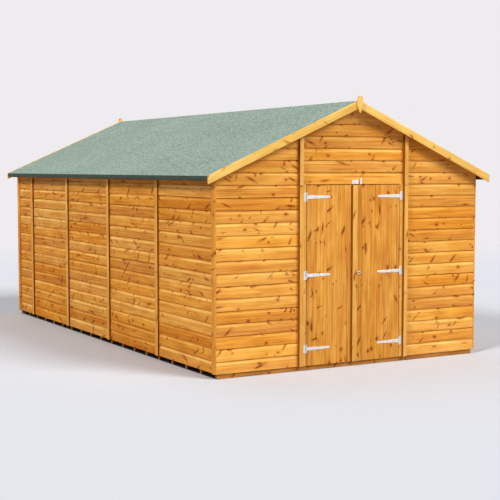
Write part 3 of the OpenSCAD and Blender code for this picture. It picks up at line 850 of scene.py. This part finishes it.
def heads(name, body, spots, radius, rise, material=steel_finish):
    """Heads of nails or screws, low and flat on top; a spot is a place and the way that it faces."""
    shape = bmesh.new()
    for place, facing in spots:
        turned = facing.to_track_quat("Z", "Y").to_matrix().to_4x4()
        seat = Matrix.Translation(place + facing * rise / 2) @ turned
        bmesh.ops.create_cone(shape, cap_ends=True, segments=HEAD_SIDES, radius1=radius,
                              radius2=radius * HEAD_TOP, depth=rise, matrix=seat)
    mesh = bpy.data.meshes.new(name)
    shape.to_mesh(mesh)
    shape.free()
    soften(mesh)
    fit(name, mesh, body, "galvanised_steel", material)


def wall_nails(name, studs, covers, facing, panel):
    """A nail through each board into each stud of a wall, except where a strip covers the board."""
    along = UP.cross(facing)
    face = facing * max(corner.dot(facing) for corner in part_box(panel))
    near = [(low, high) for low, high in covers if (low + high).dot(facing) > 0]
    hidden = [sorted((low.dot(along), high.dot(along))) for low, high in near]
    spots = []
    for low, high in studs:
        place = (low + high).dot(along) / 2
        if (low + high).dot(facing) < 0 or any(first < place < last for first, last in hidden):
            continue
        for row in range(int((high.z - clad_z) / board_cover)):
            nail_z = clad_z + row * board_cover + NAIL_UP
            spots.append((face + along * place + UP * nail_z, facing))
    heads(name, "shed", spots, NAIL_R, NAIL_RISE, clout_finish)


side_studs = boxes("side_wall_studs")
side_covers = boxes("side_cover_strips", "corner_strips")
gable_studs = boxes("gable_studs")
gable_covers = boxes("doorway_posts", "back_cover_strip")
wall_nails("left_wall_nails", side_studs, side_covers, -RIGHT, "left_wall_panel_1")
wall_nails("right_wall_nails", side_studs, side_covers, RIGHT, "right_wall_panel_1")
wall_nails("front_gable_nails", gable_studs, gable_covers, -BACK, "front_left_panel")
wall_nails("back_gable_nails", gable_studs, gable_covers, BACK, "back_left_panel")

# Clout nails along the felt's hem
for side, node in ((-1, "left_roof_felt"), (1, "right_roof_felt")):
    low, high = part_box(node)
    count = int((high.y - low.y) / CLOUT_PITCH)
    nail_z = low.z + CLOUT_UP
    edge_x = side * (max(abs(low.x), abs(high.x)) - FELT_SAG)
    clouts = []
    for i in range(count):
        nail_y = low.y + (i + 0.5) * (high.y - low.y) / count
        clouts.append((Vector((edge_x, nail_y, nail_z)), RIGHT * side))
    heads(node + "_clouts", "shed", clouts, CLOUT_R, CLOUT_RISE, clout_finish)


def front_face(solid):
    """Lowest and highest corner of a fitting's broad front."""
    solid.normal_update()
    fronts = [f for f in solid.faces if f.normal.y < -SQUARE]
    return span([v.co for v in max(fronts, key=lambda f: f.calc_area()).verts])


def screws(node, body, places):
    """Screw heads on each front of a node, at shares of its width and height."""
    spots = []
    for solid in solids(node):
        low, high = front_face(solid)
        for u, v in places:
            place = Vector((low.x + u * (high.x - low.x), low.y, low.z + v * (high.z - low.z)))
            spots.append((place, -BACK))
    heads(node + "_screws", body, spots, SCREW_R, SCREW_RISE)


screws("left_hinge_straps", "left_door", STRAP_SCREWS)
screws("right_hinge_straps", "right_door", [(1 - u, v) for u, v in STRAP_SCREWS])
screws("hinge_plates", "shed", PLATE_SCREWS)
screws("door_catch", "shed", CATCH_SCREWS)

# The keyhole's dark inside, set back in its plate: black lacquer, and painted shade for the hollow of the
# lock
low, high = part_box("lock_plate")
middle = (low + high) / 2
keyhole_shade = [(Vector((middle.x, high.y, middle.z)), -BACK)]
heads("keyhole_shade", "right_door", keyhole_shade, KEYWAY_R, (high.y - low.y) / 2, lock_lacquer_and_shade)

# Steel fittings keep their own shapes, with their edges eased
for node in ("left_hinge_straps", "right_hinge_straps", "hinge_plates", "door_catch", "lock_plate"):
    fitting = nodes[node]
    fitting.data.materials.clear()
    fitting.data.materials.append(steel_finish)
    weld = fitting.modifiers.new("weld", "WELD")
    weld.merge_threshold = FITTING_WELD
    flats = fitting.modifiers.new("flats", "DECIMATE")
    flats.decimate_type = "DISSOLVE"
    flats.angle_limit = FLAT
    rounding = fitting.modifiers.new("rounding", "BEVEL")
    rounding.width = FITTING_ARRIS
    rounding.segments = EASE_STEPS
    rounding.limit_method = "ANGLE"


def seen_directly(tree):
    """1 for what the camera sees, straight or in gloss or glass."""
    path = put(tree, "LightPath").outputs
    seen = path["Is Camera Ray"]
    for way in ("Is Glossy Ray", "Is Transmission Ray"):
        seen = put(tree, "Math", {0: seen, 1: path[way]}, operation="MAXIMUM").outputs[0]
    return seen


def studio_floor():
    """A pale floor that takes the shed's shadow and runs into the backdrop without a line."""
    material, tree, shader = finish("pale_studio_floor")
    seen = seen_directly(tree)
    colour = put(tree, "Mix", {0: seen, 6: linear(FLOOR_BOUNCE), 7: linear(FLOOR)},
                 data_type="RGBA").outputs[2]
    # Next to no light gets in between the joists, so the ground under them is painted dark as shade
    place = put(tree, "NewGeometry").outputs["Position"]
    spread = put(tree, "VectorMath", {0: place}, operation="ABSOLUTE").outputs[0]
    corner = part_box("floor_joists")[1]
    past = put(tree, "VectorMath", {0: spread, 1: corner}, operation="SUBTRACT").outputs[0]
    past = put(tree, "SeparateXYZ", {0: past}).outputs
    past = put(tree, "Math", {0: past[0], 1: past[1]}, operation="MAXIMUM").outputs[0]
    under = put(tree, "Math", {0: past, 1: 0.0}, operation="LESS_THAN").outputs[0]
    colour = put(tree, "Mix", {0: under, 6: colour, 7: linear(UNDER_JOISTS_PAINTED_SHADE)}, data_type="RGBA").outputs[2]
    tree.links.new(colour, shader.inputs["Base Color"])
    shader.inputs["Roughness"].default_value = 0.95
    shader.inputs["Specular IOR Level"].default_value = 0.0
    reach = put(tree, "VectorMath", {0: place}, operation="LENGTH").outputs["Value"]
    start, full = FLOOR_FADE
    far = put(tree, "MapRange", {"Value": reach, "From Min": start, "From Max": full},
              interpolation_type="SMOOTHSTEP").outputs[0]
    share = put(tree, "Math", {0: far, 1: seen}, operation="MULTIPLY").outputs[0]
    glow = put(tree, "Emission", {"Color": linear(BACKDROP), "Strength": 1.0}).outputs[0]
    mixed = put(tree, "MixShader", {0: share, 1: shader.outputs[0], 2: glow}).outputs[0]
    tree.links.new(mixed, tree.nodes["Material Output"].inputs["Surface"])
    bpy.ops.mesh.primitive_circle_add(vertices=FLOOR_SIDES, radius=FLOOR_R, fill_type="NGON",
                                      location=(0, 0, -FLOOR_DROP))
    floor = bpy.context.object
    floor.name = "studio_floor"
    floor.data.materials.append(material)


def studio_world(strength):
    """Even light from all round, behind a pale backdrop."""
    world = bpy.data.worlds.new("studio")
    bpy.context.scene.world = world
    world.use_nodes = True
    tree = world.node_tree
    tree.nodes.clear()
    light = put(tree, "Background", {"Color": (1, 1, 1, 1), "Strength": strength}).outputs[0]
    backdrop = put(tree, "Background", {"Color": linear(BACKDROP), "Strength": 1.0}).outputs[0]
    mixed = put(tree, "MixShader", {0: seen_directly(tree), 1: light, 2: backdrop}).outputs[0]
    put(tree, "OutputWorld", {"Surface": mixed})


def softbox(name, azimuth, elevation, strength, spread):
    """A broad soft light. Its angles are in degrees, azimuth to the right of straight before the doors."""
    lamp = bpy.data.lights.new(name, "SUN")
    lamp.energy = strength
    lamp.angle = math.radians(spread)
    light = bpy.data.objects.new(name, lamp)
    bpy.context.scene.collection.objects.link(light)
    a, e = math.radians(azimuth), math.radians(elevation)
    way = Vector((math.sin(a) * math.cos(e), -math.cos(a) * math.cos(e), math.sin(e)))
    light.rotation_euler = way.to_track_quat("Z", "Y").to_euler()


def camera():
    """The camera at the photograph's place and angle."""
    lens = bpy.data.cameras.new("camera")
    lens.sensor_fit = "HORIZONTAL"
    lens.sensor_width = CAMERA_SENSOR
    lens.lens = CAMERA_LENS
    lens.clip_end = CAMERA_REACH
    eye = bpy.data.objects.new("camera", lens)
    bpy.context.scene.collection.objects.link(eye)
    eye.location = CAMERA_AT
    eye.rotation_euler = (math.radians(90 - CAMERA_DROP), 0, math.radians(-CAMERA_YAW))
    bpy.context.scene.camera = eye


# The floor, the light and the camera
studio_floor()
studio_world(AMBIENT)
softbox("key_softbox", azimuth=30, elevation=40, strength=2.3, spread=26)
softbox("side_softbox", azimuth=-70, elevation=36, strength=1.82, spread=14)
softbox("top_softbox", azimuth=180, elevation=62, strength=0.58, spread=40)
camera()
bpy.context.scene.view_settings.view_transform = "Standard"
